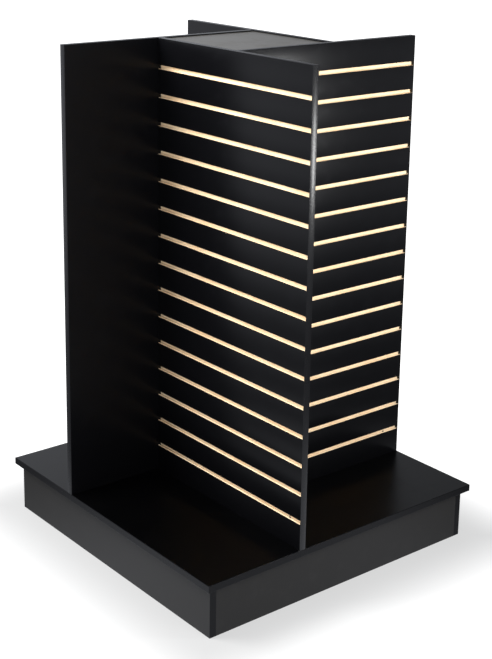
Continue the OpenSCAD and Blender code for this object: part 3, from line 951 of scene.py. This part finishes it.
def backdrop(name, mesh, material, seen_by):
    """A stage sheet that only the named kinds of ray meet."""
    data = bpy.data.meshes.new(name)
    mesh.to_mesh(data)
    mesh.free()
    data.materials.append(material)
    made = bpy.data.objects.new(name, data)
    bpy.context.scene.collection.objects.link(made)
    for kind in ("camera", "diffuse", "glossy", "transmission", "volume_scatter", "shadow"):
        setattr(made, f"visible_{kind}", kind in seen_by)
    made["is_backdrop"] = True


def flat_sheet(reach, height):
    mesh = bmesh.new()
    bmesh.ops.create_grid(mesh, x_segments=1, y_segments=1, size=reach)
    bmesh.ops.translate(mesh, vec=(0, 0, height), verts=mesh.verts)
    return mesh


def room_glow(wiring, direction, stage):
    """The room's brightness that way: full at the front and sides, dim at the back."""
    backward = wiring.part(direction, "Y") / wiring.span(wiring.over(direction, (1, 1, 0)))
    return stage.room + (stage.room_back - stage.room) * wiring.fade(backward, *BACK_OF_ROOM)


def floor_glow(wiring, stage):
    """Painted reflection of the lit floor: a painted pool of light by the front corner, painted
    shade round it and towards the back, bright far away.
    """
    point = wiring.point()
    reach = wiring.span(wiring.over(point, (1, 1, 0)))
    aside = wiring.node(
        "ShaderNodeVectorMath", {"operation": "DISTANCE"}, {0: point, 1: stage.pool_place}, "Value"
    )
    pool = 1 - wiring.fade(aside, stage.pool_reach * 0.35, stage.pool_reach)
    far = wiring.fade(reach, stage.near_reach, stage.far_reach)
    floor = stage.floor_near + (stage.floor_far - stage.floor_near) * far
    return room_glow(wiring, point, stage) * floor + pool * stage.pool


def glowing(name, stage, shaded):
    """A sheet that glows evenly, or with the painted reflection of the lit floor."""
    material = bpy.data.materials.new(name)
    material.use_nodes = True
    wiring = Wiring(material.node_tree)
    wiring.tree.nodes.clear()
    glow = floor_glow(wiring, stage) if shaded else 1.0
    tint = (*stage.tint, 1) if shaded else (1, 1, 1, 1)
    sheet = wiring.node("ShaderNodeEmission", {}, {"Color": tint, "Strength": glow})
    wiring.node("ShaderNodeOutputMaterial", {}, {"Surface": sheet}, None)
    return material


class SLATWALL_OT_stage(bpy.types.Operator):
    """Sets the white floor, the soft lights and the camera"""

    bl_idname = "slatwall.stage"
    bl_label = "Stage"

    def execute(self, context):
        stage = context.scene.slatwall_stage
        self.room(context, stage)
        self.lights(stage)
        self.camera(context, stage)
        context.scene.view_settings.view_transform = "Standard"
        return {"FINISHED"}

    @staticmethod
    def room(context, stage):
        """The floor that is seen, glowing less round the display as painted shadow, the glowing
        sheet that the gloss meets, which carries a painted reflection of the floor, and the walls.
        """
        floor = Finish("floor_white", {
            "Base Color": (*stage.floor, 1),
            "Roughness": 0.9,
            "Specular IOR Level": 0.0,
            "Emission Color": (1, 1, 1, 1),
        })
        # Painted shadow: the floor's own glow drops near the display, standing in for the display's
        # shade on the floor.
        away = [floor.maths("ABSOLUTE", floor.part(floor.point(), axis)) for axis in "XY"]
        clear = floor.fade(floor.maths("MAXIMUM", *away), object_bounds()[1][0], stage.shade_reach)
        floor.paint(Emission_Strength=stage.floor_lift * (stage.shaded_lift + clear))
        seen = ("camera", "diffuse", "shadow")
        backdrop("studio_floor", flat_sheet(stage.floor_reach, 0.0), floor.material, seen)
        # Painted reflection: a sheet seen only by gloss, glowing with the floor's painted pool of
        # light and shade.
        glow = glowing("floor_glow", stage, True)
        backdrop("reflected_floor", flat_sheet(stage.floor_reach, -1 * MM), glow, ("glossy",))
        dome = bmesh.new()
        bmesh.ops.create_uvsphere(dome, u_segments=48, v_segments=24, radius=stage.floor_reach)
        backdrop("white_wall", dome, glowing("wall_white", stage, False), ("camera",))

        world = bpy.data.worlds.new("studio_room")
        world.use_nodes = True
        context.scene.world = world
        wiring = Wiring(world.node_tree)
        glow = room_glow(wiring, wiring.point("Generated"), stage)
        wiring.tree.links.new(glow.socket, wiring.tree.nodes["Background"].inputs["Strength"])
        wiring.tree.nodes["Background"].inputs["Color"].default_value = (*stage.tint, 1)

    @staticmethod
    def lights(stage):
        softbox = (stage.softbox, stage.softbox)
        strip = (stage.strip_width, stage.strip_height)
        for name, place, aim, size, watts, in_gloss in (
            ("key_softbox", stage.key_place, stage.key_aim, softbox, stage.key_power, False),
            ("side_softbox", stage.side_place, stage.side_aim, softbox, stage.side_power, False),
            ("back_strip", stage.strip_place, stage.strip_aim, strip, stage.strip_power, True),
        ):
            soft_light(name, place, aim, size, watts, in_gloss)

    @staticmethod
    def camera(context, stage):
        lens = bpy.data.cameras.new("camera")
        lens.sensor_width = 36
        lens.lens = stage.focal
        lens.shift_y = stage.shift
        lens.clip_end = 400
        made = bpy.data.objects.new("camera", lens)
        context.scene.collection.objects.link(made)
        azimuth, elevation = stage.azimuth, stage.elevation
        back = Vector((
            math.sin(azimuth) * math.cos(elevation),
            -math.cos(azimuth) * math.cos(elevation),
            math.sin(elevation),
        ))
        level = Vector((0, 0, 1)).cross(back).normalized()
        upright = back.cross(level)
        right = level * math.cos(stage.roll) + upright * math.sin(stage.roll)
        above = upright * math.cos(stage.roll) - level * math.sin(stage.roll)
        turn = Matrix((right, above, back)).transposed().to_4x4()
        made.matrix_world = Matrix.Translation(stage.camera_place) @ turn
        context.scene.camera = made


PIECES = (
    SLATWALL_OT_panels,
    SLATWALL_OT_cap,
    SLATWALL_OT_base,
    SLATWALL_OT_levellers,
    SLATWALL_OT_joinery,
    SLATWALL_OT_screws,
    SLATWALL_OT_stage,
)


class SLATWALL_PT_build(bpy.types.Panel):
    """Lists the settings and the steps"""

    bl_label = "Slatwall display"
    bl_idname = "SLATWALL_PT_build"
    bl_space_type = "VIEW_3D"
    bl_region_type = "UI"
    bl_category = "Slatwall"

    def draw(self, context):
        layout = self.layout
        for group in (
            context.scene.slatwall_colours,
            context.scene.slatwall_surfaces,
            context.scene.slatwall_stage,
        ):
            box = layout.box()
            for name in group.__annotations__:
                box.prop(group, name)
        for step in PIECES:
            layout.operator(step.bl_idname)


GROUPS = {
    "slatwall_colours": SlatwallColours,
    "slatwall_surfaces": SlatwallSurfaces,
    "slatwall_stage": SlatwallStage,
}


def register():
    for kind in (*GROUPS.values(), *PIECES, SLATWALL_PT_build):
        bpy.utils.register_class(kind)
    for name, kind in GROUPS.items():
        setattr(bpy.types.Scene, name, PointerProperty(type=kind))


def unregister():
    for name in GROUPS:
        delattr(bpy.types.Scene, name)
    for kind in (SLATWALL_PT_build, *PIECES, *GROUPS.values()):
        bpy.utils.unregister_class(kind)


def main():
    register()
    for step in PIECES:
        group, name = step.bl_idname.split(".")
        getattr(getattr(bpy.ops, group), name)()


if __name__ == "__main__":
    main()
